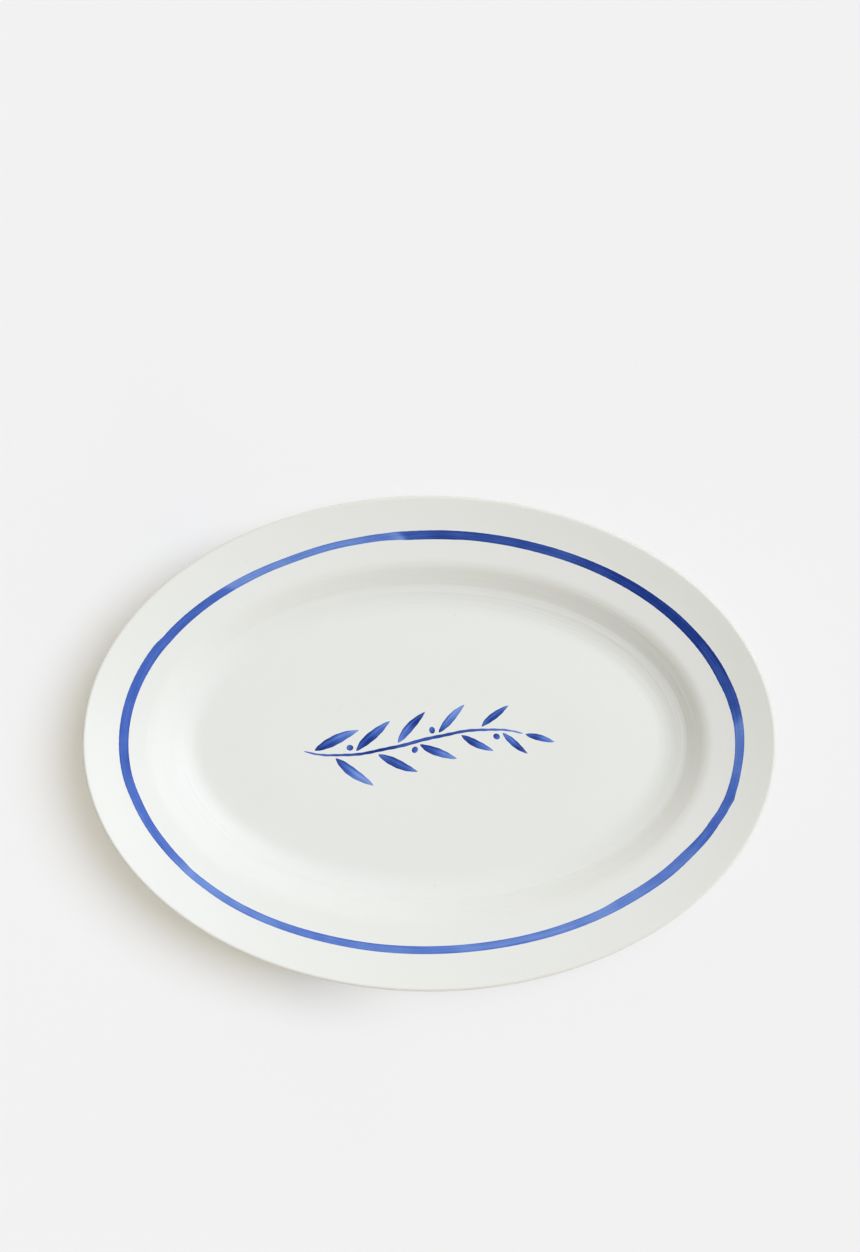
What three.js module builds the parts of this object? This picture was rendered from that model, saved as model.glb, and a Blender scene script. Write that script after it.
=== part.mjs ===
// Oval serving plate in glazed stoneware, with a blue band painted on the rim and a sprig in the well.
// Millimetres, +Z up. The origin is on the table under the middle of the plate, +X along its length.
// The plate is built up as a potter makes it: a clay body, glaze coats over it, brush marks on the glaze.
import * as THREE from "three";
import { mergeGeometries } from "three/addons/utils/BufferGeometryUtils.js";

// Overall sizes, measured over the glaze
const LENGTH = 350;
const WIDTH = 250;
const HEIGHT = 30;

// Clay body
const RIM_WIDTH = 34; // from the outer edge to the shoulder where the rim turns down into the well
const RIM_SLOPE = 14; // degrees, rising outwards
const RIM_THICKNESS = 4.2;
const LIP_ROUND = 1.9;
const SHOULDER_ROUND = 17.5;
const WALL_SLOPE = 38; // degrees, the steepest part of the well's wall
const WALL_THICKNESS = 5;
const WALL_ROUND = 33; // the sweep from the wall into the floor
const FLOOR_THICKNESS = 5;
const BELLY_SLOPE = 10; // degrees, the underside between the foot and the wall
const BELLY_ROUND = 32;
const FOOT_INSET = 57; // from the outer edge to the outside of the foot ring
const FOOT_HEIGHT = 3.6; // the recess inside the foot ring
const FOOT_WIDTH = 4.6; // across the bare face that stands on the table
const FOOT_DRAFT = 12; // degrees, both sides of the foot ring lean in
const FOOT_ROUND = 0.8;
const FOOT_FILLET = 2.4;

// Glaze
const GLAZE_COAT = 0.4;
const GLAZE_LINE = 1.6; // height above the table where the foot ring is wiped bare

// Blue brush marks
const PAINT_FILM = 0.2;
const BAND_INSET = 18.4; // from the outer edge to the outside of the band
const BAND_WIDTH = 4.4;

// Painted sprig
const STEM_SPAN = 112;
const STEM_RISE = 9;
const STEM_WIDTH = 1.8;
const LEAF_PAIRS = 5;
const LEAF_LENGTH = 26;
const LEAF_WIDTH = 5.4;
const LEAF_BEND = 3.2; // how far a full leaf's tip bends back towards the stem
const LEAF_ANGLE = 42; // degrees from the stem
const LEAF_SHRINK = 0.38; // share of length and width that the last leaf has lost
const LEAF_GAP = 0.7; // bare glaze between a leaf and the stem
const BERRY_COUNT = 4;
const BERRY_DIAMETER = 3.4;
const BERRY_GAP = 1.2; // bare glaze between a berry and the stem, and behind the leaf that it sits by

// Fineness of the facets
const SEGMENTS = 64; // round the plate, an even number
const ARC_TOLERANCE = 0.12; // how far a facet may lie off a round of the section
const STEM_STEPS = 20;
const MARK_STEPS = 7; // facets along one curve of a brush mark

const radians = THREE.MathUtils.degToRad;
const point = (x, y) => new THREE.Vector2(x, y);

const STONEWARE = { color: "#d8d2c4", roughness: 0.85, metalness: 0 };
const WHITE_GLAZE = { color: "#e8eae5", roughness: 0.18, metalness: 0 };
const COBALT_BLUE = { color: "#3557b0", roughness: 0.22, metalness: 0 };

// Section through the short half of the plate, as lines and corners

// A line of the section: through a point, at a slope in degrees.
function line(through, slope) {
  return { through, along: point(Math.cos(radians(slope)), Math.sin(radians(slope))) };
}

// The same line, moved sideways to its right.
function beside({ through, along }, distance) {
  return { through: point(through.x + along.y * distance, through.y - along.x * distance), along };
}

function meet(a, b) {
  const between = b.through.clone().sub(a.through);
  const reach = between.cross(b.along) / a.along.cross(b.along);
  return a.through.clone().addScaledVector(a.along, reach);
}

// The point of a line at a given distance from the plate's middle.
function atRadius(onLine, radius) {
  return meet(onLine, line(point(radius, 0), 90));
}

// A run of the section through corners, each { at, round }. A round is kept within the sides that it joins.
function rounded(corners) {
  const points = [];
  corners.forEach(({ at, round = 0 }, i) => {
    const before = corners[i - 1]?.at;
    const after = corners[i + 1]?.at;
    if (!round || !before || !after) {
      points.push(at);
      return;
    }
    const into = at.clone().sub(before);
    const out = after.clone().sub(at);
    const turn = Math.atan2(into.cross(out), into.dot(out));
    const half = Math.tan(Math.abs(turn) / 2);
    const room = 0.49 * Math.min(into.length(), out.length());
    const radius = Math.min(round, room / half);
    const start = at.clone().addScaledVector(into.normalize(), -radius * half);
    const centre = point(-into.y, into.x).multiplyScalar(Math.sign(turn) * radius).add(start);
    const stepAngle = 2 * Math.acos(1 - Math.min(ARC_TOLERANCE / radius, 0.25));
    const steps = Math.ceil(Math.abs(turn) / stepAngle);
    for (let k = 0; k <= steps; k++) {
      points.push(start.clone().rotateAround(centre, (turn * k) / steps));
    }
  });
  return points;
}

// A run of the section moved out to its left by the thickness of a coat.
function coatOver(run, thickness) {
  return run.map((at, i) => {
    const into = at.clone().sub(run[Math.max(i - 1, 0)]).normalize();
    const out = run[Math.min(i + 1, run.length - 1)].clone().sub(at).normalize();
    const along = into.clone().add(out).normalize();
    const side = into.lengthSq() > 0 ? into : out;
    const stretch = thickness / side.dot(along);
    return point(at.x - along.y * stretch, at.y + along.x * stretch);
  });
}

const outerRadius = WIDTH / 2;
const edgeRadius = outerRadius - GLAZE_COAT;
const lipTop = HEIGHT - GLAZE_COAT;
const lipMiddle = point(edgeRadius - LIP_ROUND, lipTop - LIP_ROUND);

const rimTop = beside(line(lipMiddle, RIM_SLOPE), -LIP_ROUND);
const rimUnder = beside(rimTop, RIM_THICKNESS);
const edge = line(point(edgeRadius, 0), 90);
const shoulder = atRadius(rimTop, outerRadius - RIM_WIDTH);
const wallTop = line(shoulder, WALL_SLOPE);
const wallUnder = beside(wallTop, WALL_THICKNESS);
const baseUnder = line(point(0, FOOT_HEIGHT), 0);
const floorTop = beside(baseUnder, -FLOOR_THICKNESS);

const footOuterTop = point(outerRadius - FOOT_INSET, FOOT_HEIGHT);
const footOuter = line(footOuterTop, 90 - FOOT_DRAFT);
const belly = line(footOuterTop, BELLY_SLOPE);
const table = line(point(0, 0), 0);
const wiped = line(point(0, GLAZE_LINE), 0);
const footOuterFoot = meet(footOuter, table);
const footInnerFoot = point(footOuterFoot.x - FOOT_WIDTH, 0);
const footInner = line(footInnerFoot, 90 + FOOT_DRAFT);

const bandOuterEdge = atRadius(rimTop, outerRadius - BAND_INSET);
const bandInnerEdge = atRadius(rimTop, outerRadius - BAND_INSET - BAND_WIDTH);

// Clay under the face glaze: from the middle of the floor out to the band, then over the lip to the foot.
const clayInsideBand = rounded([
  { at: point(0, floorTop.through.y) },
  { at: meet(floorTop, wallTop), round: WALL_ROUND },
  { at: shoulder, round: SHOULDER_ROUND },
  { at: bandInnerEdge },
]);
const clayOutsideBand = rounded([
  { at: bandOuterEdge },
  { at: meet(rimTop, edge), round: LIP_ROUND },
  { at: meet(rimUnder, edge), round: LIP_ROUND },
  { at: meet(rimUnder, wallUnder), round: SHOULDER_ROUND },
  { at: meet(wallUnder, belly), round: BELLY_ROUND },
  { at: footOuterTop, round: FOOT_FILLET },
  { at: meet(footOuter, wiped) },
]);
const clayUnderFace = [...clayInsideBand, ...clayOutsideBand];
const bareFoot = rounded([
  { at: meet(footOuter, wiped) },
  { at: footOuterFoot, round: FOOT_ROUND },
  { at: footInnerFoot, round: FOOT_ROUND },
  { at: meet(footInner, wiped) },
]);
const clayUnderBase = rounded([
  { at: meet(footInner, wiped) },
  { at: meet(footInner, baseUnder), round: FOOT_FILLET },
  { at: point(0, FOOT_HEIGHT) },
]);

const glazeFace = coatOver(clayUnderFace, GLAZE_COAT);
const glazeBase = coatOver(clayUnderBase, GLAZE_COAT);
const glazeUnderBand = [glazeFace[clayInsideBand.length - 1], glazeFace[clayInsideBand.length]];
const bandTop = coatOver(glazeUnderBand, PAINT_FILM);
const glazeFloor = glazeFace[0].y;

// Solids

// A section turned round the plate, with every ring an oval at one inset from the outline on both axes:
// the section is revolved at the short radius, and each ring is then drawn out along the plate's length.
// The runs of the section have the outside on their left, so they go in end first to make faces point out.
function ovalLathe(section) {
  const geometry = new THREE.LatheGeometry(section.toReversed(), SEGMENTS).rotateX(Math.PI / 2);
  const position = geometry.getAttribute("position");
  const drawnOut = (LENGTH - WIDTH) / 2;
  for (let i = 0; i < position.count; i++) {
    const turn = (2 * Math.PI * Math.floor(i / section.length)) / SEGMENTS;
    position.setX(i, position.getX(i) + drawnOut * Math.sin(turn));
  }
  return geometry;
}

function turnedInsideOut(geometry) {
  const index = geometry.getIndex();
  for (let i = 0; i < index.count; i += 3) {
    const first = index.getX(i);
    index.setX(i, index.getX(i + 1));
    index.setX(i + 1, first);
  }
  return geometry;
}

// A layer between two runs of the section that share their ends or end on the plate's axis.
function layer(outside, inside) {
  return mergeGeometries([ovalLathe(outside), turnedInsideOut(ovalLathe(inside))]);
}

function solid(name, geometry, finish) {
  const mesh = new THREE.Mesh(geometry, new THREE.MeshStandardMaterial(finish));
  mesh.name = name;
  return mesh;
}

// A brush mark on the floor of the well: an outline as thick as the film of paint.
function brushMark(name, outline) {
  const settings = { depth: PAINT_FILM, bevelEnabled: false, curveSegments: MARK_STEPS };
  const mark = solid(name, new THREE.ExtrudeGeometry(outline, settings), COBALT_BLUE);
  mark.position.z = glazeFloor;
  return mark;
}

// Painted sprig: one stem with leaves on alternate sides, a leaf at its tip, and berries among the leaves

const stem = new THREE.CubicBezierCurve(
  point(-STEM_SPAN / 2, -STEM_RISE / 2),
  point(-STEM_SPAN / 6, -STEM_RISE * 1.6),
  point(STEM_SPAN / 6, STEM_RISE * 1.6),
  point(STEM_SPAN / 2, STEM_RISE / 2),
);

// Half the stem's width, which swells from both ends of the stroke.
function stemHalfWidth(share) {
  return (STEM_WIDTH / 2) * (0.45 + 0.55 * Math.sin(Math.PI * share));
}

// A place to the left of the stem, or to its right where aside is less than 0.
function besideStem(share, aside) {
  const along = stem.getTangentAt(share);
  return stem.getPointAt(share).add(point(-along.y, along.x).multiplyScalar(aside));
}

function stemOutline() {
  const left = [];
  const right = [];
  for (let k = 0; k <= STEM_STEPS; k++) {
    const share = k / STEM_STEPS;
    left.push(besideStem(share, stemHalfWidth(share)));
    right.push(besideStem(share, -stemHalfWidth(share)));
  }
  return new THREE.Shape([...right, ...left.reverse()]);
}

// One stroke of a full brush: it swells soon after the start and bends away as it runs out to a point.
function leafOutline(length, width, bend) {
  const swell = width * 0.67;
  const outline = new THREE.Shape();
  outline.moveTo(0, 0);
  outline.bezierCurveTo(length * 0.22, -swell, length * 0.64, bend * 0.3 - swell, length, bend);
  outline.bezierCurveTo(length * 0.64, bend * 0.3 + swell, length * 0.22, swell, 0, 0);
  return outline;
}

// A leaf on one side of the stem: 1 is its left, -1 its right and 0 straight on from its tip.
function leaf(name, share, side) {
  const size = 1 - LEAF_SHRINK * share;
  const outline = leafOutline(LEAF_LENGTH * size, LEAF_WIDTH * size, -side * LEAF_BEND * size);
  const mark = brushMark(name, outline);
  const start = besideStem(share, side * (stemHalfWidth(share) + LEAF_GAP));
  mark.position.setX(start.x).setY(start.y);
  mark.rotation.z = stem.getTangentAt(share).angle() + side * radians(LEAF_ANGLE);
  return mark;
}

// The share of the stem at which a leaf starts, and its side, which alternates.
const leafCount = 2 * LEAF_PAIRS;
const leafShare = (i) => (i + 0.5) / (leafCount + 0.5);
const leafSide = (i) => (i % 2 ? -1 : 1);

function sprig() {
  const marks = new THREE.Group();
  marks.add(brushMark("sprig_stem", stemOutline()));
  for (let i = 0; i < leafCount; i++) {
    marks.add(leaf(`sprig_leaf_${i + 1}`, leafShare(i), leafSide(i)));
  }
  const tip = leaf("sprig_leaf_tip", 1, 0);
  tip.translateX(LEAF_GAP);
  marks.add(tip);
  for (let i = 0; i < BERRY_COUNT; i++) {
    const nextLeaf = 2 * i + 2 + (i % 2);
    const reach = BERRY_DIAMETER / 2 + BERRY_GAP;
    const share = leafShare(nextLeaf) - reach / stem.getLength();
    const centre = besideStem(share, leafSide(nextLeaf) * (stemHalfWidth(share) + reach));
    const outline = new THREE.Shape().absarc(centre.x, centre.y, BERRY_DIAMETER / 2, 0, 2 * Math.PI);
    marks.add(brushMark(`sprig_berry_${i + 1}`, outline));
  }
  marks.position.x = (-LEAF_LENGTH * (1 - LEAF_SHRINK)) / 2;
  return marks;
}

const claySection = [...clayUnderFace, ...bareFoot.slice(1), ...clayUnderBase.slice(1)];
const faceSection = [...glazeFace, clayUnderFace.at(-1)];
const baseSection = [clayUnderBase[0], ...glazeBase];
const bandSection = [glazeUnderBand[0], ...bandTop, glazeUnderBand[1]];

const plate = new THREE.Group();
plate.add(solid("clay_body", ovalLathe(claySection), STONEWARE));
plate.add(solid("face_glaze", layer(faceSection, clayUnderFace), WHITE_GLAZE));
plate.add(solid("base_glaze", layer(baseSection, clayUnderBase), WHITE_GLAZE));
plate.add(solid("rim_band", layer(bandSection, glazeUnderBand), COBALT_BLUE));
plate.add(sprig());

export default plate;
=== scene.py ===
"""Oval serving plate of glazed stoneware, with a blue band round the rim and a sprig painted in the well.

Metres, +Z up. The origin is on the table under the middle of the plate, +X along its length.
"""

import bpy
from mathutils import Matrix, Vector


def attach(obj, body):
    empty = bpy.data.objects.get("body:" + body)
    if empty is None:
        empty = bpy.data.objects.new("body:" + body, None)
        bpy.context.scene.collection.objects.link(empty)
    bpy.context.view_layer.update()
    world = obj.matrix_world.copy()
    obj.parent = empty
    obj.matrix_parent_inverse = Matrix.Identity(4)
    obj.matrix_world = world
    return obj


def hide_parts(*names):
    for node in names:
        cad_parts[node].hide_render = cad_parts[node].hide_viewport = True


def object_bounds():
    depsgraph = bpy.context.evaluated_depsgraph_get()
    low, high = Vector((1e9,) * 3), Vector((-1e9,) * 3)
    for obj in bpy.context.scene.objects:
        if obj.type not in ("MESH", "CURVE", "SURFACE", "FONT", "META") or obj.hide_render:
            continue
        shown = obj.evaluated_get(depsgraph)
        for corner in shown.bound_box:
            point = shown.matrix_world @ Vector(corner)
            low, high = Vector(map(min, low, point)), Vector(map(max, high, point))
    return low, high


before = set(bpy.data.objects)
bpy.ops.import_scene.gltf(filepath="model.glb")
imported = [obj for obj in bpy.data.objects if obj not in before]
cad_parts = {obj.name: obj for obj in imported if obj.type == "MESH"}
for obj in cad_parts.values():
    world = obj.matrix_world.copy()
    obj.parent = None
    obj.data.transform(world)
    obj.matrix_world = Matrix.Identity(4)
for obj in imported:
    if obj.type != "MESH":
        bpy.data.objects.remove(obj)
CAD_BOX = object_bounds()
CAD_LENGTH, CAD_WIDTH, _ = [high - low for low, high in zip(*CAD_BOX)]

from bisect import bisect_right
from functools import partial, wraps
from math import atan2, ceil, cos, degrees, exp, hypot, pi, radians, sin, tan

import bpy
from bpy.props import FloatProperty, FloatVectorProperty, PointerProperty
from mathutils import Vector

bl_info = {
    "name": "Oval serving plate",
    "version": (1, 0, 0),
    "blender": (4, 5, 0),
    "location": "3D View > Sidebar > Plate",
    "description": "Models a glazed oval plate with a brushed band and a painted sprig",
    "category": "Add Mesh",
}

PHOTO_WIDTH, PHOTO_HEIGHT = 860, 1252  # pixels of the picture that the camera frames
MM = 0.001

# Fineness of the meshes
ROUND_THE_PLATE = 216  # sides of a ring of clay or glaze
ROUND_THE_BAND = 720  # sides of a ring of the band
ROUND_STEP = radians(3)  # turn between two rings on a round of the section
LEAST_STEPS = 4  # on a round that turns little
ROUND_SHARE = 0.49  # of a straight, at most, goes to the round at its end
SUPPORT = 0.7 * MM  # a ring this close to a round keeps the straight beside it from being shaded round
SUPPORT_ROOM = 2.5 * SUPPORT  # a straight that is shorter gets no such ring
MIDDLE_RING = 6 * MM  # short radius of the last ring before the middle is filled
SEAM = 0.001 * MM  # points of a spun seam that are closer than this are one
SHARP = radians(35)  # an edge that turns more is shaded sharp
STROKE_SIDES = 20  # of a ring round a brush stroke
STROKE_STEPS = 30  # rings along a leaf


# Sizes and colours that a user would change


def size(name, description, millimetres):
    return FloatProperty(
        name=name, description=description, default=millimetres * MM, min=0, unit="LENGTH", subtype="DISTANCE"
    )


def angle(name, description, in_degrees):
    return FloatProperty(name=name, description=description, default=radians(in_degrees), subtype="ANGLE")


def linear(code):
    """An sRGB colour such as #E8EAE5 as linear red, green and blue."""
    shares = [int(code[i : i + 2], 16) / 255 for i in (1, 3, 5)]
    return tuple(n / 12.92 if n <= 0.04045 else ((n + 0.055) / 1.055) ** 2.4 for n in shares)


def colour(name, description, code):
    return FloatVectorProperty(
        name=name, description=description, default=linear(code), min=0, max=1, size=3, subtype="COLOR"
    )


class PlateSizes(bpy.types.PropertyGroup):
    """Sizes of the clay body and its glaze"""

    length: size("Length", "Over the glaze, along the plate", CAD_LENGTH / MM)
    width: size("Width", "Over the glaze, across the plate", CAD_WIDTH / MM)
    height: size("Height", "From the table to the top of the lip", 30)
    rim_width: size("Rim width", "From the outer edge to the shoulder of the well", 34.2)
    rim_slope: angle("Rim slope", "Mean rise of the rim outwards", 15.8)
    rim_curl: angle("Rim curl", "How much steeper the rim's outer half is than the mean", 2.9)
    rim_round: size("Rim round", "Sweep of the rim where its two halves meet", 160)
    rim_thickness: size("Rim thickness", "Clay in the rim", 4.2)
    lip_round: size("Lip round", "Round of the outer edge above", 0.9)
    lip_under_round: size("Lip under round", "Round of the outer edge below", 2.2)
    shoulder_round: size("Shoulder round", "Round where the rim turns down into the well", 14)
    wall_slope: angle("Wall slope", "Steepest part of the well's wall", 38)
    wall_width: size("Wall width", "From the shoulder to the wall's knee, seen from above", 10.2)
    wall_thickness: size("Wall thickness", "Clay in the wall", 5)
    knee_round: size("Knee round", "Round where the wall eases off", 9)
    sweep_slope: angle("Sweep slope", "Slope below the knee", 23)
    sweep_round: size("Sweep round", "Round from the knee's slope into the floor", 24)
    floor_thickness: size("Floor thickness", "Clay in the middle of the well's floor", 6.1)
    floor_fall: angle("Floor fall", "Slope of the floor from its level middle down to the wall", 2.4)
    fall_inset: size("Fall inset", "From the outer edge to where the floor falls", 87)
    fall_round: size("Fall round", "Sweep from the level middle into the fall", 480)
    belly_slope: angle("Belly slope", "Underside between the foot and the wall", 10)
    belly_round: size("Belly round", "Round between the belly and the wall", 32)
    foot_inset: size("Foot inset", "From the outer edge to the outside of the foot ring", 57)
    foot_height: size("Foot height", "Recess inside the foot ring", 3.6)
    foot_width: size("Foot width", "Across the bare face that stands on the table", 4.6)
    foot_draft: angle("Foot draft", "Lean of both sides of the foot ring", 12)
    foot_round: size("Foot round", "Edges of the bare face", 0.8)
    foot_fillet: size("Foot fillet", "Where the foot ring grows out of the base", 2.4)
    glaze_coat: size("Glaze coat", "Thickness of the glaze", 0.4)
    glaze_line: size("Glaze line", "Height above the table where the foot is wiped bare", 1.6)


class PaintSizes(bpy.types.PropertyGroup):
    """Sizes of the blue brush marks"""

    film: size("Paint film", "How far a brush mark stands on the glaze", 0.08)
    stem_span: size("Stem span", "Length of the stem along the plate", 112)
    stem_rise: size("Stem rise", "How far the stem's tip lies above its start", 9)
    stem_width: size("Stem width", "Widest part of the stem's stroke", 1.8)
    leaf_length: size("Leaf length", "A full leaf's stroke", 26)
    leaf_width: size("Leaf width", "Widest part of a full leaf", 5.4)
    leaf_bend: size("Leaf bend", "How far a full leaf's tip bends back to the stem", 3.2)
    leaf_angle: angle("Leaf angle", "Between a leaf and the stem", 42)
    leaf_gap: size("Leaf gap", "Bare glaze between a leaf and the stem", 0.7)
    leaf_shrink: FloatProperty(
        name="Leaf shrink", description="Share of its size that the last leaf has lost", default=0.38,
        min=0, max=0.9, subtype="FACTOR",
    )
    berry_diameter: size("Berry diameter", "One round dab of the brush", 3.4)
    berry_gap: size("Berry gap", "Bare glaze between a berry, the stem and the next leaf", 1.2)


class PlateColours(bpy.types.PropertyGroup):
    """Colours of the clay, the glaze, the paint and the table"""

    glaze: colour("Glaze", "White glaze at its usual thickness", "#E6E8E3")
    glaze_cloud: colour("Glaze cloud", "Where the glaze came out a little warmer", "#E4E6E0")
    glaze_pool: colour("Pooled glaze", "Where the glaze ran together and lies thick", "#DEE3DF")
    glaze_thin: colour("Thin glaze", "Where the clay warms the glaze on an edge", "#DBD6CA")
    speck: colour("Iron speck", "Specks of iron in the glaze and the clay", "#8C8068")
    clay: colour("Clay", "Fired stoneware", "#D2C8B5")
    clay_dark: colour("Dark clay", "Handled and wiped places of the bare clay", "#BBAE97")
    cobalt_wash: colour("Cobalt wash", "Thinnest paint", "#7C9DD9")
    cobalt: colour("Cobalt", "Usual paint", "#4567BB")
    cobalt_full: colour("Full cobalt", "Paint from a full brush", "#022D80")
    backdrop: colour("Backdrop", "Table and background", "#F2F2F2")
    # The table's painted shadow: a warm glow that tints its shadow, and a cooler lit colour on that side that
    # keeps the lit table neutral
    painted_shadow_warm: colour("Shadow", "What the table keeps of its brightness in the shadow", "#F8F1DE")
    shadow_cool: colour("Lit shadow side", "The table's own colour there, which evens that out", "#EEF3FD")


# Section through the short half of the plate


def line(through, slope):
    """A line of the section, as a point and a direction."""
    return Vector(through), Vector((cos(slope), sin(slope)))


def beside(one, distance):
    """The same line moved sideways to its right."""
    through, along = one
    return through + Vector((along.y, -along.x)) * distance, along


def meet(one, other):
    """The point where two lines cross."""
    (a, along), (b, across) = one, other
    return a + along * ((b - a).cross(across) / along.cross(across))


def at_radius(one, radius):
    """The point of a line at a radius from the plate's middle."""
    return meet(one, line((radius, 0), pi / 2))


def rounded(corners):
    """Points and pooling of a run of the section, with an arc at each corner and a support point beside it.

    A corner is (point, round, pooling). Pooling says how the glaze lies on the round: above 0 it gathers
    there, below 0 it runs thin.
    """
    run = [(corners[0][0], 0)]
    for (before, *_), (at, radius, pooling), (after, *_) in zip(corners, corners[1:], corners[2:]):
        into, out = at - before, after - at
        turn = atan2(into.cross(out), into.dot(out))
        half = tan(abs(turn) / 2)
        radius = min(radius, ROUND_SHARE * min(into.length, out.length) / half)
        start = at - into.normalized() * radius * half
        end = at + out.normalized() * radius * half
        side = Vector((-into.y, into.x)).normalized() * (radius if turn > 0 else -radius)
        centre = start + side
        steps = max(LEAST_STEPS, ceil(abs(turn) / ROUND_STEP))
        if (start - run[-1][0]).length > SUPPORT_ROOM:
            run.append((start - into.normalized() * SUPPORT, 0))
        for k in range(steps + 1):
            swing = turn * k / steps
            arm_x = -side.x * cos(swing) + side.y * sin(swing)
            arm_y = -side.x * sin(swing) - side.y * cos(swing)
            run.append((centre + Vector((arm_x, arm_y)), pooling * sin(pi * k / steps)))
        if (after - end).length > SUPPORT_ROOM:
            run.append((end + out.normalized() * SUPPORT, 0))
    return [*run, (corners[-1][0], 0)]


def coat_over(run, thickness):
    """Points of a run moved out to its left by the thickness of a coat at each point."""
    coat = []
    for i, at in enumerate(run):
        into = at - run[max(i - 1, 0)]
        out = run[min(i + 1, len(run) - 1)] - at
        along = (into.normalized() + out.normalized()).normalized()
        side = (into if into.length else out).normalized()
        coat.append(at + Vector((-along.y, along.x)) * (thickness[i] / side.dot(along)))
    return coat


class Section:
    """The runs of the clay's section: over the face and the lip, round the foot, and under the base."""

    def __init__(self, sizes):
        outer = sizes.width / 2
        edge_radius = outer - sizes.glaze_coat
        lip_middle = (edge_radius - sizes.lip_round, sizes.height - sizes.glaze_coat - sizes.lip_round)
        rim_outer = beside(line(lip_middle, sizes.rim_slope + sizes.rim_curl), -sizes.lip_round)
        rim_middle = at_radius(rim_outer, outer - sizes.rim_width / 2)
        rim_inner = line(rim_middle, sizes.rim_slope - sizes.rim_curl)
        under_outer = beside(rim_outer, sizes.rim_thickness)
        under_inner = beside(rim_inner, sizes.rim_thickness)
        edge = line((edge_radius, 0), pi / 2)
        shoulder = at_radius(rim_inner, outer - sizes.rim_width)
        wall_top = line(shoulder, sizes.wall_slope)
        knee = at_radius(wall_top, shoulder.x - sizes.wall_width)
        sweep = line(knee, sizes.sweep_slope)
        wall_under = beside(wall_top, sizes.wall_thickness)
        floor_middle = line((0, sizes.foot_height + sizes.floor_thickness), 0)
        fall_start = at_radius(floor_middle, outer - sizes.fall_inset)
        floor_edge = line(fall_start, -sizes.floor_fall)
        base_under = line((0, sizes.foot_height), 0)
        foot_outer_top = Vector((outer - sizes.foot_inset, sizes.foot_height))
        foot_outer = line(foot_outer_top, pi / 2 - sizes.foot_draft)
        belly = line(foot_outer_top, sizes.belly_slope)
        wiped = line((0, sizes.glaze_line), 0)
        foot_outer_foot = meet(foot_outer, line((0, 0), 0))
        foot_inner_foot = foot_outer_foot - Vector((sizes.foot_width, 0))
        foot_inner = line(foot_inner_foot, pi / 2 + sizes.foot_draft)
        wiped_outside, wiped_inside = meet(foot_outer, wiped), meet(foot_inner, wiped)

        self.face = rounded([
            (at_radius(floor_middle, MIDDLE_RING), 0, 0),
            (fall_start, sizes.fall_round, 0),
            (meet(floor_edge, sweep), sizes.sweep_round, 0.8),
            (knee, sizes.knee_round, 0.4),
            (shoulder, sizes.shoulder_round, -0.05),
            (rim_middle, sizes.rim_round, 0),
            (meet(rim_outer, edge), sizes.lip_round, -1),
            (meet(under_outer, edge), sizes.lip_under_round, -0.6),
            (meet(under_outer, under_inner), sizes.rim_round, 0),
            (meet(under_inner, wall_under), sizes.shoulder_round, 0.3),
            (meet(wall_under, belly), sizes.belly_round, -0.1),
            (foot_outer_top, sizes.foot_fillet, 1),
            (wiped_outside, 0, 0),
        ])
        self.foot = rounded([
            (wiped_outside, 0, 0),
            (foot_outer_foot, sizes.foot_round, 0),
            (foot_inner_foot, sizes.foot_round, 0),
            (wiped_inside, 0, 0),
        ])
        self.base = rounded([
            (wiped_inside, 0, 0),
            (meet(foot_inner, base_under), sizes.foot_fillet, 1),
            (Vector((MIDDLE_RING, sizes.foot_height)), 0, 0),
        ])
        self.outer = outer
        self.stretch = (sizes.length - sizes.width) / 2
        self.floor = fall_start.y + sizes.glaze_coat
        clay = [at for at, _ in self.face]
        self.face_glaze = coat_over(clay, [sizes.glaze_coat] * len(clay))

    def on_glaze(self, inset):
        """The point of the face's glaze at an inset from the plate's outline."""
        radius = self.outer - inset
        for here, there in zip(self.face_glaze, self.face_glaze[1:]):
            if here.x <= radius <= there.x:
                return here.lerp(there, (radius - here.x) / (there.x - here.x))
        raise RuntimeError(f"the face has no point at an inset of {inset}")


def eased(stops, place):
    """The numbers at a place among stops (place, numbers), eased from each stop to the next."""
    after = min(max(bisect_right([stop[0] for stop in stops], place), 1), len(stops) - 1)
    (start, *here), (end, *there) = stops[after - 1], stops[after]
    share = min(max((place - start) / (end - start), 0), 1)
    share = share * share * (3 - 2 * share)
    return [a + (b - a) * share for a, b in zip(here, there)]


def crowded(step, steps):
    """The share of the way at a step, where the steps lie closer together at both ends."""
    return 0.5 - 0.5 * cos(pi * step / steps)


def run_lengths(points):
    """How far along a row of points each of them lies."""
    lengths = [0]
    for here, there in zip(points, points[1:]):
        lengths.append(lengths[-1] + (there - here).length)
    return lengths


# Modelling


def deselect_all():
    if bpy.context.mode != "OBJECT":
        bpy.ops.object.mode_set(mode="OBJECT")
    bpy.ops.object.select_all(action="DESELECT")


def select_only(piece):
    deselect_all()
    piece.select_set(True)
    bpy.context.view_layer.objects.active = piece


def select_vertices(piece, wanted):
    """Goes into edit mode with the vertices selected whose place is wanted."""
    bpy.ops.object.mode_set(mode="EDIT")
    bpy.ops.mesh.select_mode(type="VERT")
    bpy.ops.mesh.select_all(action="DESELECT")
    bpy.ops.object.mode_set(mode="OBJECT")
    for vertex in piece.data.vertices:
        vertex.select = wanted(vertex.co)
    bpy.ops.object.mode_set(mode="EDIT")


def close_openings(joined):
    """Closes a row of extruded rings: its first ring joined to its last, or both filled."""
    bpy.ops.mesh.select_mode(type="EDGE")
    if joined:
        bpy.ops.mesh.select_non_manifold(
            extend=False, use_wire=False, use_boundary=True, use_multi_face=False, use_non_contiguous=False,
            use_verts=False,
        )
        bpy.ops.mesh.bridge_edge_loops()
    bpy.ops.mesh.select_all(action="SELECT")
    if not joined:
        bpy.ops.mesh.fill_holes(sides=0)
    bpy.ops.mesh.normals_make_consistent(inside=False)
    bpy.ops.mesh.select_mode(type="VERT")
    bpy.ops.object.mode_set(mode="OBJECT")


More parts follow.
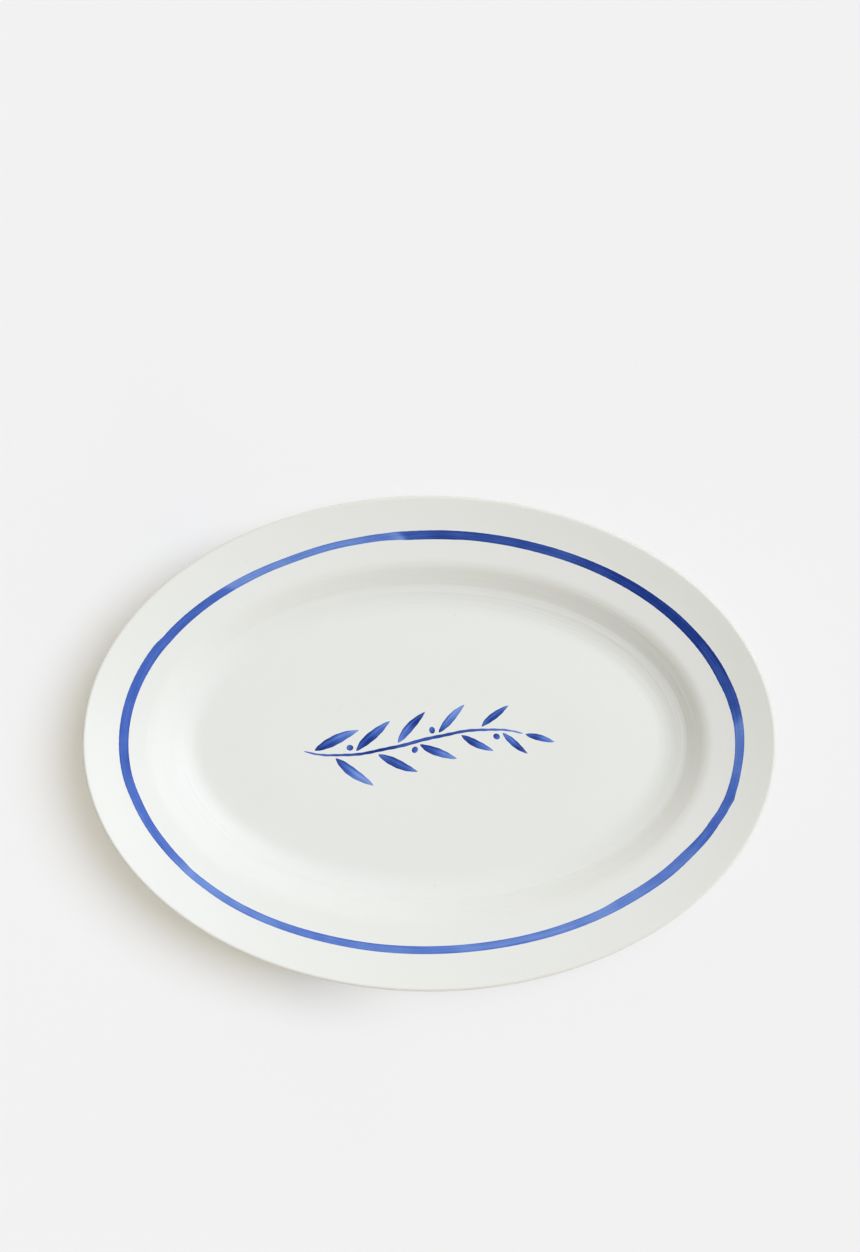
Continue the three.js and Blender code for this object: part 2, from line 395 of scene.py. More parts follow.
def spun_oval(name, section, stretch, sides, numbers=(), joined=False):
    """A section drawn point by point, spun round the plate's middle and drawn out to an oval, so that every
    ring lies at one inset from the outline. The numbers go with the section's points."""
    deselect_all()
    bpy.ops.mesh.primitive_plane_add(size=MM)
    piece = bpy.context.object
    piece.name = name
    bpy.ops.object.mode_set(mode="EDIT")
    bpy.ops.mesh.merge(type="CENTER")
    bpy.ops.transform.translate(value=(section[0].x, 0, section[0].y))
    for here, there in zip(section, section[1:]):
        step = there - here
        bpy.ops.mesh.extrude_region_move(TRANSFORM_OT_translate={"value": (step.x, 0, step.y)})
    bpy.ops.object.mode_set(mode="OBJECT")
    for key, values in dict(numbers).items():
        set_numbers(piece, key, values)
    bpy.ops.object.mode_set(mode="EDIT")
    bpy.ops.mesh.select_all(action="SELECT")
    bpy.ops.mesh.spin(steps=sides, angle=2 * pi, center=(0, 0, 0), axis=(0, 0, 1))
    bpy.ops.mesh.select_all(action="SELECT")
    bpy.ops.mesh.remove_doubles(threshold=SEAM)
    close_openings(joined)
    for vertex in piece.data.vertices:
        vertex.co.x *= 1 + stretch / hypot(vertex.co.x, vertex.co.y)
    return piece


def brush_stroke(name, steps):
    """A stroke along +X, pillowed on top and flat below. Each step is (x, y, half the width, height)."""
    deselect_all()
    bpy.ops.mesh.primitive_circle_add(vertices=STROKE_SIDES, radius=1, rotation=(pi / 2, 0, pi / 2))
    piece = bpy.context.object
    piece.name = name
    bpy.ops.object.transform_apply(location=True, rotation=True, scale=True)
    select_vertices(piece, lambda at: at.z < 0)
    bpy.ops.transform.resize(value=(1, 1, 0), center_override=(0, 0, 0))
    bpy.ops.mesh.select_all(action="SELECT")
    x, y, half, height = steps[0]
    bpy.ops.transform.resize(value=(1, half, height), center_override=(0, 0, 0))
    bpy.ops.transform.translate(value=(x, y, 0))
    for here, there in zip(steps, steps[1:]):
        move = (there[0] - here[0], there[1] - here[1], 0)
        bpy.ops.mesh.extrude_region_move(TRANSFORM_OT_translate={"value": move})
        grow = (1, there[2] / here[2], there[3] / here[3])
        bpy.ops.transform.resize(value=grow, center_override=(there[0], there[1], 0))
    close_openings(joined=False)
    return piece


def set_numbers(piece, name, values):
    """Keeps one number for each vertex, which the finish reads by this name."""
    kept = piece.data.attributes.get(name) or piece.data.attributes.new(name, "FLOAT", "POINT")
    kept.data.foreach_set("value", values)


def set_brushwork(piece, load, across, dry, places):
    """Keeps for each vertex the brush's load, the way from the stroke's middle to its edge, how dry the brush
    was, and the place in the stroke, in bristle lengths and bristle widths."""
    for name, values in (("load", load), ("across", across), ("dry", dry)):
        set_numbers(piece, name, values)
    kept = piece.data.attributes.new("brush", "FLOAT_VECTOR", "POINT")
    kept.data.foreach_set("vector", [number for place in places for number in place])


def own_copy(piece, name):
    select_only(piece)
    bpy.ops.object.duplicate(linked=False)
    copy = bpy.context.object
    copy.name = name
    return copy


def put(piece, place, turn, scale):
    """Scales, turns and moves a piece, and leaves that in its mesh with the faces outwards."""
    select_only(piece)
    piece.scale = scale
    piece.rotation_euler = (0, 0, turn)
    piece.location = place
    bpy.ops.object.transform_apply(location=True, rotation=True, scale=True)
    bpy.ops.object.mode_set(mode="EDIT")
    bpy.ops.mesh.select_all(action="SELECT")
    bpy.ops.mesh.normals_make_consistent(inside=False)
    bpy.ops.object.mode_set(mode="OBJECT")


def finish_piece(piece, node, material):
    """Shades a piece, checks that it is closed, and sets it in the frame in place of its CAD node."""
    uses = {}
    for polygon in piece.data.polygons:
        for key in polygon.edge_keys:
            uses[key] = uses.get(key, 0) + 1
    if not uses or set(uses.values()) != {2}:
        raise RuntimeError(f"{piece.name} isn't a closed shell")
    select_only(piece)
    bpy.ops.object.shade_smooth_by_angle(angle=SHARP)
    piece.data.materials.append(material)
    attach(piece, "root")
    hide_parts(node)


# Finishes

COLOUR_A, COLOUR_B = 6, 7  # inputs of a Mix node that mixes colours, where names find those for numbers
SMOOTH = {"interpolation_type": "SMOOTHSTEP"}  # for a Map Range that eases in and out


def add_node(tree, kind, settings=(), links=()):
    """Adds a shader node. Settings are its properties or the values of its inputs. Links are what its inputs
    read: an output, or a node, for the first output that it shows."""
    node = tree.nodes.new("ShaderNode" + kind)
    for key, value in dict(settings).items():
        if isinstance(key, str) and hasattr(node, key):
            setattr(node, key, value)
        else:
            node.inputs[key].default_value = value
    for key, source in dict(links).items():
        if isinstance(source, bpy.types.Node):
            source = next(output for output in source.outputs if output.enabled)
        tree.links.new(source, node.inputs[key])
    return node


def cleared(owner):
    """Empties the node tree of a material or the world, and gives what adds nodes to it."""
    owner.use_nodes = True
    owner.node_tree.nodes.clear()
    return partial(add_node, owner.node_tree)


def finish(draw):
    """Turns a function that draws a finish and gives its shader into one that gives the material."""

    @wraps(draw)
    def finished(*facts):
        material = bpy.data.materials.get(draw.__name__)
        if not material:
            material = bpy.data.materials.new(draw.__name__)
            add = cleared(material)
            add("OutputMaterial", {}, {"Surface": draw(add, *facts)})
        return material

    return finished


def opaque(rgb):
    return (*rgb, 1)


def glass_waves(add, place):
    """Bump of the fired glaze: waves about 9 mm long and 12 thousandths of a millimetre high."""
    waves = add("TexNoise", {"Scale": 1 / (9 * MM), "Detail": 1}, {"Vector": place})
    return add("Bump", {"Distance": 0.012 * MM}, {"Height": waves})


@finish
def white_stoneware_glaze(add, colours):
    """Glossy white stoneware glaze, dipped and fired: a smooth glass skin that is a little greener where it
    pooled and warmer where it runs thin over an edge. It is never quite flat, so reflections waver in it."""
    place = add("TexCoord").outputs["Object"]
    pooling, run, tooled = [
        add("Attribute", {"attribute_name": name}).outputs["Fac"] for name in ("pooling", "run", "tooled")
    ]

    # Clouds about 45 mm across from uneven thickness, and iron specks about 0.4 mm across in cells of 14 mm
    cloud = add("TexNoise", {"Scale": 1 / (45 * MM), "Detail": 2}, {"Vector": place})
    cells = add("TexVoronoi", {"Scale": 1 / (14 * MM)}, {"Vector": place})
    pool = add("MapRange", {"To Max": 0.12}, {"Value": pooling})
    thin = add("MapRange", {"From Max": -1, "To Max": 0.45}, {"Value": pooling})
    speck = add(
        "MapRange", {**SMOOTH, "From Min": 0.022, "From Max": 0.008, "To Max": 0.45}, {"Value": cells}
    )
    tone = add(
        "Mix", {"data_type": "RGBA", COLOUR_A: opaque(colours.glaze), COLOUR_B: opaque(colours.glaze_cloud)},
        {"Factor": cloud},
    )
    for amount, tint in ((pool, colours.glaze_pool), (thin, colours.glaze_thin), (speck, colours.speck)):
        tone = add("Mix", {"data_type": "RGBA", COLOUR_B: opaque(tint)}, {"Factor": amount, COLOUR_A: tone})

    # A fine skin of 1.5 mm on the waves of the glass
    skin = add("TexNoise", {"Scale": 1 / (1.5 * MM), "Detail": 2}, {"Vector": place})
    skinned = add("Bump", {"Distance": 0.0007 * MM}, {"Height": skin, "Normal": glass_waves(add, place)})
    # Streaks of the forming tool: 1.6 mm apart on the section, each about a tenth of a turn long
    streak_gap, streak_turn = 1.6 * MM, 0.625
    flat = add("VectorMath", {"operation": "MULTIPLY", 1: (1, 1, 0)}, {0: place})
    way = add("VectorMath", {"operation": "NORMALIZE"}, {0: flat})
    way = add("VectorMath", {"operation": "SCALE", "Scale": 1 / streak_turn}, {0: way})
    down = add("Math", {"operation": "DIVIDE", 1: streak_gap}, {0: run})
    down = add("CombineXYZ", {}, {"Z": down})
    spiral = add("VectorMath", {"operation": "ADD"}, {0: way, 1: down})
    rings = add("TexNoise", {"Scale": 1, "Detail": 1.5}, {"Vector": spiral})
    ringed = add("Bump", {"Distance": 0.19 * MM}, {"Strength": tooled, "Height": rings, "Normal": skinned})
    gloss = add(
        "MapRange", {"From Min": 0.3, "From Max": 0.7, "To Min": 0.15, "To Max": 0.22}, {"Value": cloud}
    )
    return add("BsdfPrincipled", {"IOR": 1.5}, {"Base Color": tone, "Roughness": gloss, "Normal": ringed})


@finish
def bare_fired_stoneware(add, colours):
    """Fired stoneware left bare on the foot and wiped with a sponge: dry, buff, gritty and dark-specked."""
    place = add("TexCoord").outputs["Object"]
    # Wiped patches about 12 mm across, grit of 0.5 mm and iron specks in cells of 3 mm
    wiped = add("TexNoise", {"Scale": 1 / (12 * MM), "Detail": 4}, {"Vector": place})
    grit = add("TexNoise", {"Scale": 1 / (0.5 * MM), "Detail": 4, "Roughness": 0.65}, {"Vector": place})
    cells = add("TexVoronoi", {"Scale": 1 / (3 * MM)}, {"Vector": place})
    shade = add("Math", {"operation": "MULTIPLY"}, {0: wiped, 1: grit})
    spread = add("MapRange", {"From Min": 0.14, "From Max": 0.38}, {"Value": shade})
    body = add(
        "Mix", {"data_type": "RGBA", COLOUR_A: opaque(colours.clay_dark), COLOUR_B: opaque(colours.clay)},
        {"Factor": spread},
    )
    speck = add("MapRange", {**SMOOTH, "From Min": 0.13, "From Max": 0.06, "To Max": 0.6}, {"Value": cells})
    specked = add(
        "Mix", {"data_type": "RGBA", COLOUR_B: opaque(colours.speck)}, {"Factor": speck, COLOUR_A: body}
    )
    rough = add("Bump", {"Distance": 0.06 * MM}, {"Height": grit})
    dryness = add("MapRange", {"To Min": 0.78, "To Max": 0.92}, {"Value": wiped})
    return add(
        "BsdfPrincipled", {"IOR": 1.5}, {"Base Color": specked, "Roughness": dryness, "Normal": rough}
    )


@finish
def brushed_cobalt_blue(add, colours):
    """Cobalt blue brushed on the glaze and fired into it: as glossy as the glaze, pale where the brush was
    watery, deep where it was full, streaked along the stroke and a little darker where the wet edge dried."""
    place = add("TexCoord").outputs["Object"]
    brush = add("Attribute", {"attribute_name": "brush"}).outputs["Vector"]
    load, across, dry = [
        add("Attribute", {"attribute_name": name}).outputs["Fac"] for name in ("load", "across", "dry")
    ]

    # Streaks of the bristles, watery clouds about 11 mm across, and the edge where the wet paint gathered
    streaks = add("TexNoise", {"Scale": 1, "Detail": 2, "Roughness": 0.55}, {"Vector": brush})
    cloud = add("TexNoise", {"Scale": 1 / (11 * MM), "Detail": 2}, {"Vector": place})
    streaked = add(
        "MapRange", {"From Min": 0.25, "From Max": 0.75, "To Min": -0.14, "To Max": 0.14}, {"Value": streaks}
    )
    clouded = add(
        "MapRange", {"From Min": 0.3, "From Max": 0.7, "To Min": -0.06, "To Max": 0.06}, {"Value": cloud}
    )
    wet_edge = add(
        "MapRange", {**SMOOTH, "From Min": 0.55, "From Max": 0.9, "To Min": -0.03, "To Max": 0.1},
        {"Value": across},
    )
    tone = load
    for change in (streaked, clouded, wet_edge):
        tone = add("Math", {"operation": "ADD"}, {0: tone, 1: change})
    paint = add("ValToRGB", {}, {"Fac": tone})
    ramp = paint.color_ramp.elements
    ramp[0].color, ramp[1].color = opaque(colours.cobalt_wash), opaque(colours.cobalt_full)
    ramp.new(0.5).color = opaque(colours.cobalt)

    # The glaze shows where the stroke thins out at its edge and between the bristles of a brush that runs dry
    faded = add("MapRange", {**SMOOTH, "From Min": 0.9, "From Max": 1, "To Max": 0.5}, {"Value": across})
    bristle_gap = add("Math", {"operation": "ADD"}, {0: streaks, 1: dry})
    broken = add(
        "MapRange", {**SMOOTH, "From Min": 0.92, "From Max": 1.12, "To Max": 0.85}, {"Value": bristle_gap}
    )
    bare = add("Math", {"operation": "MAXIMUM"}, {0: faded, 1: broken})
    covered = add(
        "Mix", {"data_type": "RGBA", COLOUR_B: opaque(colours.glaze)}, {"Factor": bare, COLOUR_A: paint}
    )
    gloss = add(
        "MapRange", {"From Min": 0.25, "From Max": 0.75, "To Min": 0.17, "To Max": 0.26}, {"Value": streaks}
    )
    return add(
        "BsdfPrincipled", {"IOR": 1.5, "Specular IOR Level": 0.22},
        {"Base Color": covered, "Roughness": gloss, "Normal": glass_waves(add, place)},
    )


# Clay and glaze

TOOLED_FACE = ((30, 0), (39, 1), (50, 1), (60, 0.12), (80, 0))  # inset in mm, strength of the tool's streaks
TOOLED_BACK = 0.25  # the same on the underside
BEAD_LENGTH = 1.5  # from the glaze's end to its full thickness, in thicknesses
BEAD_STEPS = (0.55 * MM, 0.4 * MM, 0.27 * MM, 0.16 * MM, 0.08 * MM, 0.03 * MM)  # its rings, from the end


def coat_thickness(run, coat, bead_at_start):
    """The coat's thickness along a run: full, and rounded off as a bead where it was wiped at one end."""
    bead = BEAD_LENGTH * coat
    lengths = run_lengths(run)
    from_end = lengths if bead_at_start else [lengths[-1] - length for length in lengths]
    return [coat * (1 - max(0, 1 - far / bead) ** 2) ** 0.5 for far in from_end]


def finer_end(run, lengths_from_end):
    """Adds points to the last straight of a run, so that a bead can be rounded there."""
    (end, pooling), (before, _) = run[-1], run[-2]
    along = (before - end).normalized()
    return [*run[:-1], *((end + along * far, 0) for far in lengths_from_end), (end, pooling)]


class PLATE_OT_clay_body(bpy.types.Operator):
    """Models the clay body with its foot ring, which stays bare where it stands on the table"""

    bl_idname = "plate.clay_body"
    bl_label = "Clay body"

    def execute(self, context):
        section = Section(context.scene.plate_sizes)
        run = [at for at, _ in [*section.face, *section.foot[1:], *section.base[1:]]]
        piece = spun_oval("stoneware_body", run, section.stretch, ROUND_THE_PLATE)
        finish_piece(piece, "clay_body", bare_fired_stoneware(context.scene.plate_colours))
        return {"FINISHED"}


class PLATE_OT_glaze(bpy.types.Operator):
    """Models the coat of glaze over the face, lip and underside, and the one inside the foot ring"""

    bl_idname = "plate.glaze"
    bl_label = "Glaze"

    def execute(self, context):
        sizes, colours = context.scene.plate_sizes, context.scene.plate_colours
        section = Section(sizes)
        base = finer_end(section.base[::-1], BEAD_STEPS)[::-1]
        coats = (
            ("glaze_over_face", "face_glaze", finer_end(section.face, BEAD_STEPS), False),
            ("glaze_under_base", "base_glaze", base, True),
        )
        for name, node, run, bead_at_start in coats:
            clay = [at for at, _ in run]
            pooling = [value for _, value in run]
            coat = coat_over(clay, coat_thickness(clay, sizes.glaze_coat, bead_at_start))
            tooled = [TOOLED_BACK] * len(clay)
            if bead_at_start:
                coat, clay, pooling = coat[::-1], clay[::-1], pooling[::-1]
            else:
                lip = max(range(len(clay)), key=lambda i: clay[i].x)
                for i in range(lip + 1):
                    tooled[i] = eased(TOOLED_FACE, (section.outer - clay[i].x) / MM)[0]
            shell = [*coat, *clay[-2::-1]]
            numbers = {
                "pooling": [*pooling, *pooling[-2::-1]],
                "tooled": [*tooled, *tooled[-2::-1]],
                "run": run_lengths(shell),
            }
            piece = spun_oval(name, shell, section.stretch, ROUND_THE_PLATE, numbers)
            finish_piece(piece, node, white_stoneware_glaze(colours))
        return {"FINISHED"}


# Blue band

# Four strokes of a wide brush, one after another round the rim. Each stop of a stroke is the angle clockwise
# from the plate's right end, the inset of the band's outer side and its width in mm, and the brush's load,
# from 0, thin with water, to 1, full.
BAND_STROKES = (
    (
        (266, 17.4, 4.9, 0.75), (274, 17.1, 5.0, 0.85), (277, 17.1, 4.7, 0.85), (295, 17.2, 4.9, 0.85),
        (315, 17.0, 5.3, 1.0), (325, 16.7, 5.7, 1.0), (341, 16.0, 6.2, 0.9), (349, 15.6, 5.8, 0.8),
        (352, 15.6, 5.5, 0.7),
    ),
    (
        (355.5, 15.6, 5.2, 0.3), (367, 16.0, 4.7, 0.4), (373, 15.8, 4.9, 0.5), (375, 15.4, 5.3, 0.55),
        (378, 16.0, 5.0, 0.5), (383, 16.7, 5.2, 0.55), (395, 17.7, 5.7, 0.4), (410, 18.4, 5.5, 0.3),
        (416, 18.4, 4.8, 0.25), (435, 18.6, 4.3, 0.3), (465, 18.1, 4.2, 0.4), (488, 17.7, 4.2, 0.3),
        (501, 18.2, 4.1, 0.2),
    ),
    (
        (505, 18.5, 4.4, 0.45), (512, 18.6, 4.7, 0.5), (523, 18.6, 5.0, 0.5), (532, 18.0, 5.2, 0.6),
        (567, 18.0, 5.6, 0.55), (571, 18.8, 5.0, 0.6), (588, 19.0, 4.5, 0.55),
    ),
    (
        (590, 19.0, 4.4, 0.25), (600, 19.0, 4.0, 0.25), (615, 18.1, 3.8, 0.3), (621, 17.7, 4.0, 0.4),
        (624, 17.4, 4.5, 0.2),
    ),
)
BRISTLE_LENGTH, BRISTLE_WIDTH = 22 * MM, 0.4 * MM  # scale of the streaks along and across a stroke
BAND_ROUND = 813.6 * MM  # about the band's length once round
BAND_ROWS = 13  # rings across the band
BAND_SLANT = 1.6  # degrees that a stroke's end lags behind on the band's inner side
PAINT_SINK = 0.02 * MM  # how deep the paint's underside lies in the glaze
PLAIN_INSET, PLAIN_WIDTH = 18 * MM, 4 * MM  # of the ring that becomes the band


def film_height(film, share):
    """How far a film of paint stands on the glaze at a share of its width."""
    return film * (1 - (2 * share - 1) ** 4) - PAINT_SINK


class PLATE_OT_rim_band(bpy.types.Operator):
    """Models the blue band as a thin film that wanders a little on the rim, as the brush did"""

    bl_idname = "plate.rim_band"
    bl_label = "Rim band"

    def execute(self, context):
        section, film = Section(context.scene.plate_sizes), context.scene.plate_paint.film
        shares = [crowded(row, BAND_ROWS - 1) for row in range(BAND_ROWS)]
        rings = [section.on_glaze(PLAIN_INSET + PLAIN_WIDTH * share) for share in shares]
        for ring, share in zip(rings, shares):
            ring.y += film_height(film, share)
        numbers = {"across": shares}
        piece = spun_oval("blue_band", rings, section.stretch, ROUND_THE_BAND, numbers, joined=True)

        # The plain ring is slid across the rim to where the brush went
        shares = [kept.value for kept in piece.data.attributes["across"].data]
        stops = [stop for stroke in BAND_STROKES for stop in stroke]
        first = stops[0][0]
        stops.append((first + 360, *stops[0][1:]))
        round_reach = BAND_ROUND / BRISTLE_LENGTH / (2 * pi)
        load, places = [], []
        for vertex, share in zip(piece.data.vertices, shares):
            radius = section.on_glaze(PLAIN_INSET + PLAIN_WIDTH * share).x
            turn = atan2(vertex.co.y / radius, vertex.co.x / (radius + section.stretch))
            clockwise = (-degrees(turn) - first) % 360 + first
            inset, width, _ = eased(stops, clockwise)
            at = section.on_glaze((inset + width * share) * MM)
            x, y = (at.x + section.stretch) * cos(turn), at.x * sin(turn)
            vertex.co = (x, y, at.y + film_height(film, share))
            load.append(eased(stops, clockwise - BAND_SLANT * (share - 0.5))[2])
            in_from_edge = width * share * MM / BRISTLE_WIDTH
            places.append((round_reach * cos(turn), round_reach * sin(turn), in_from_edge))
        set_brushwork(piece, load, [abs(2 * share - 1) for share in shares], [0] * len(load), places)
        finish_piece(piece, "rim_band", brushed_cobalt_blue(context.scene.plate_colours))
        return {"FINISHED"}


# Painted sprig

LEAF_COUNT = 10
BERRY_COUNT = 4
STEM_SWING = 1.6  # how far the stem's curve is pulled to each side, in rises
STEM_END_WIDTH = 0.45  # share of the stem's width that is left at its ends
STEM_BLUNT = 0.02  # keeps the stem's ends from running out to nothing
LEAF_CURVE = ((0, 0), (0.22, 0), (0.64, 0.3), (1, 1))  # what draws a leaf, as shares of its length and bend
LEAF_CUT = 0.004  # share of a leaf's curve that is left off at each end
LEAF_SWELL = 2.01  # how fast half its width grows from both ends, in leaf widths
LEAF_THIN = 0.2  # where half the width is below this share of a leaf's width, the film runs out
WAVER, WAVER_LENGTH = 0.13 * MM, 3.4 * MM  # how far the hand wavers beside a stroke, and how quickly
WAVER_ROOM = 4 * WAVER  # a stroke wavers less where half its width is below this
SHAKE, SHAKE_RATE = 0.6, 3.7  # of a stroke's edges, times the waver and its quickness
SWAY_APART, SHAKE_APART, SIDE_APART = 2.1, 4.3, 1.3  # radians that set strokes, and a stroke's sides, apart
STREAKS_APART = 7.3  # step through the pattern of the streaks from one stroke to the next
SPLIT_DEPTH, SPLIT_WIDTH, SPLIT_ASIDE = 0.34, 0.22, (-0.2, 0.26)  # pale line where the bristles parted
SPLIT_FROM = 1.1 * MM  # half the width of a stroke that is wide enough to part them
STEM_DRY, LEAF_DRY = 0.3, 0.4  # how dry the brush is at the end of a stroke
DRY_FROM = 0.35  # share of a stroke where the brush starts to run dry
# Load of the brush along a stroke, from its start to its end
STEM_LOADS = (0.3, 0.75, 1.0, 0.7, 0.9, 0.5, 0.2)
TIP_LOADS = (0.6, 0.95, 0.5, 0.2)
LEAF_LOADS = (
    (1.0, 0.95, 0.45, 0.1),
    (1.0, 0.6, 0.3, 0.15),
    (0.8, 1.0, 0.6, 0.2),
    (0.5, 0.9, 0.8, 0.25),
    (0.35, 0.6, 1.0, 0.75),
)
# A berry is one dab of the brush, not quite round and fuller on the side where the brush came down
DAB_PROFILE = ((1, 0), (0.985, 0.35), (0.93, 0.65), (0.8, 0.9), (0.5, 1), (0.2, 1))  # of radius and film
DAB_OVAL = (1.06, 0.9, 1)
DAB_LOAD, DAB_LEAN = 0.68, 0.34
DAB_STREAKS = (3 * MM, 1 * MM)  # scale of the streaks along and across a dab
DAB_TURN, DAB_LEAN_TURN = 0.9, 2  # radians from one berry to the next
DAB_STREAKS_FIRST, DAB_STREAKS_APART = 1.7, 3.1  # place in the pattern of the streaks, and step


def bezier(ends, share):
    """The point at a share of the curve that four points draw."""
    rest = 1 - share
    weights = (rest ** 3, 3 * share * rest ** 2, 3 * share ** 2 * rest, share ** 3)
    return sum((Vector(end) * weight for end, weight in zip(ends, weights)), Vector((0, 0)))


class Stem:
    """The line that the stem follows, by the share of its length."""

    FINE = 400  # straights that its curve is measured by

    def __init__(self, paint):
        span, rise, swing = paint.stem_span, paint.stem_rise, STEM_SWING * paint.stem_rise
        ends = ((-span / 2, -rise / 2), (-span / 6, -swing), (span / 6, swing), (span / 2, rise / 2))
        self.points = [bezier(ends, k / self.FINE) for k in range(self.FINE + 1)]
        self.lengths = run_lengths(self.points)
        self.length = self.lengths[-1]
        self.width = paint.stem_width

    def at(self, share):
        """The stem's point and direction at a share of its length."""
        far = min(max(share, 0), 1) * self.length
        i = min(max(bisect_right(self.lengths, far), 1), self.FINE)
        here, there = self.points[i - 1], self.points[i]
        between = (far - self.lengths[i - 1]) / (self.lengths[i] - self.lengths[i - 1])
        return here.lerp(there, between), (there - here).normalized()

    def half_width(self, share):
        return self.width / 2 * (STEM_END_WIDTH + (1 - STEM_END_WIDTH) * sin(pi * share))

    def beside(self, share, side, gap):
        """The point at a gap from the stem's stroke, on its left for a side of 1 and on its right for -1."""
        at, along = self.at(share)
        return at + Vector((-along.y, along.x)) * (side * (self.half_width(share) + gap))


def stem_steps(paint, stem):
    """A stroke along the stem, widest in its middle and rounded off at both ends."""
    steps = []
    count = 3 * STROKE_STEPS
    for k in range(count + 1):
        share = k / count
        at, along = stem.at(share)
        ends = min(1, (min(share, 1 - share) * stem.length / stem.width + STEM_BLUNT) ** 0.5)
        steps.append((at.x, at.y, stem.half_width(share) * ends / along.x, paint.film * ends))
    return steps


def leaf_steps(paint, bend):
    """A stroke that swells soon after its start and bends away as it runs out to a point."""
    ends = [(paint.leaf_length * along, bend * aside) for along, aside in LEAF_CURVE]
    steps = []
    for k in range(STROKE_STEPS + 1):
        share = LEAF_CUT + (1 - 2 * LEAF_CUT) * crowded(k, STROKE_STEPS)
        half = LEAF_SWELL * paint.leaf_width * share * (1 - share)
        height = paint.film * min(1, half / (LEAF_THIN * paint.leaf_width))
        steps.append((*bezier(ends, share), half, height))
    return steps


def paint_stroke(piece, steps, seed, loads, dry_to):
    """Keeps the brush's load, edge and dryness along a stroke of these steps, and lets its edges waver."""
    stops = [(i / (len(loads) - 1), load) for i, load in enumerate(loads)]
    load, across, dry, places = [], [], [], []
    for i, vertex in enumerate(piece.data.vertices):
        x, y, half, _ = steps[min(i // STROKE_SIDES, len(steps) - 1)]
        share = (x - steps[0][0]) / (steps[-1][0] - steps[0][0])
        aside = (vertex.co.y - y) / half
        split = SPLIT_DEPTH * exp(-((aside - SPLIT_ASIDE[seed % 2]) / SPLIT_WIDTH) ** 2) * sin(pi * share)
        load.append(eased(stops, share)[0] - (split if half > SPLIT_FROM else 0))
        across.append(min(1, abs(aside)))
        dry.append(dry_to * max(0, share - DRY_FROM) / (1 - DRY_FROM))
        places.append((x / BRISTLE_LENGTH, aside * half / BRISTLE_WIDTH, seed * STREAKS_APART))
        sway = sin(x / WAVER_LENGTH + SWAY_APART * seed)
        side = SIDE_APART if aside > 0 else 0
        shake = sin(SHAKE_RATE * x / WAVER_LENGTH + SHAKE_APART * seed + side)
        vertex.co.y += WAVER * min(1, half / WAVER_ROOM) * (sway + SHAKE * shake * aside)
    set_brushwork(piece, load, across, dry, places)


def paint_dab(piece, seed, radius):
    """Keeps the brush's load and edge on a berry."""
    full_x, full_y = cos(DAB_LEAN_TURN * seed), sin(DAB_LEAN_TURN * seed)
    streaks = DAB_STREAKS_FIRST + DAB_STREAKS_APART * seed
    load, across, places = [], [], []
    for vertex in piece.data.vertices:
        x, y, _ = vertex.co
        load.append(DAB_LOAD + DAB_LEAN * (x * full_x + y * full_y) / radius)
        across.append(hypot(x, y) / radius)
        places.append((x / DAB_STREAKS[0], y / DAB_STREAKS[1], streaks))
    set_brushwork(piece, load, across, [0] * len(load), places)


class PLATE_OT_sprig(bpy.types.Operator):
    """Models the painted sprig: a stem, leaves on both sides, a leaf at its tip and berries among them"""

    bl_idname = "plate.sprig"
    bl_label = "Sprig"

    def execute(self, context):
        paint, cobalt = context.scene.plate_paint, brushed_cobalt_blue(context.scene.plate_colours)
        floor = Section(context.scene.plate_sizes).floor - PAINT_SINK
        stem = Stem(paint)
        shift = Vector((-paint.leaf_length * (1 - paint.leaf_shrink) / 2, 0))

        def lay(piece, node, place, turn=0, scale=(1, 1, 1)):
            """Sets a piece of the sprig down in the well."""
            put(piece, (*(place + shift), floor), turn, scale)
            finish_piece(piece, node, cobalt)

        steps = stem_steps(paint, stem)
        piece = brush_stroke("painted_stem", steps)
        paint_stroke(piece, steps, 0, STEM_LOADS, STEM_DRY)
        lay(piece, "sprig_stem", Vector((0, 0)))

        bent = leaf_steps(paint, -paint.leaf_bend)
        pattern = brush_stroke("leaf_pattern", bent)
        leaf_share = [(i + 0.5) / (LEAF_COUNT + 0.5) for i in range(LEAF_COUNT)]
        leaf_side = [-1 if i % 2 else 1 for i in range(LEAF_COUNT)]
        for i, (share, side) in enumerate(zip(leaf_share, leaf_side)):
            grown = 1 - paint.leaf_shrink * share
            _, along = stem.at(share)
            turn = atan2(along.y, along.x) + side * paint.leaf_angle
            piece = own_copy(pattern, f"painted_leaf_{i + 1}")
            paint_stroke(piece, bent, i + 1, LEAF_LOADS[i % len(LEAF_LOADS)], LEAF_DRY)
            start = stem.beside(share, side, paint.leaf_gap)
            lay(piece, f"sprig_leaf_{i + 1}", start, turn, (grown, side * grown, 1))
        bpy.data.objects.remove(pattern)

        straight = leaf_steps(paint, 0)
        piece = brush_stroke("painted_leaf_tip", straight)
        paint_stroke(piece, straight, LEAF_COUNT + 1, TIP_LOADS, LEAF_DRY)
        at, along = stem.at(1)
        grown = 1 - paint.leaf_shrink
        lay(piece, "sprig_leaf_tip", at + along * paint.leaf_gap, atan2(along.y, along.x), (grown, grown, 1))

        # Each berry lies before a leaf, on the left and on the right of the stem in turn
        radius = paint.berry_diameter / 2
        reach = radius + paint.berry_gap
        rows = [Vector((radius * share, paint.film * height)) for share, height in DAB_PROFILE]
        dab = spun_oval("berry_pattern", rows, 0, 2 * STROKE_SIDES)
        for i in range(BERRY_COUNT):
            leaf = 2 * i + 2 + i % 2
            share = leaf_share[leaf] - reach / stem.length
            piece = own_copy(dab, f"painted_berry_{i + 1}")
            paint_dab(piece, i, radius)
            middle = stem.beside(share, leaf_side[leaf], reach)
            lay(piece, f"sprig_berry_{i + 1}", middle, DAB_TURN * i, DAB_OVAL)
        bpy.data.objects.remove(dab)
        return {"FINISHED"}


# Stage

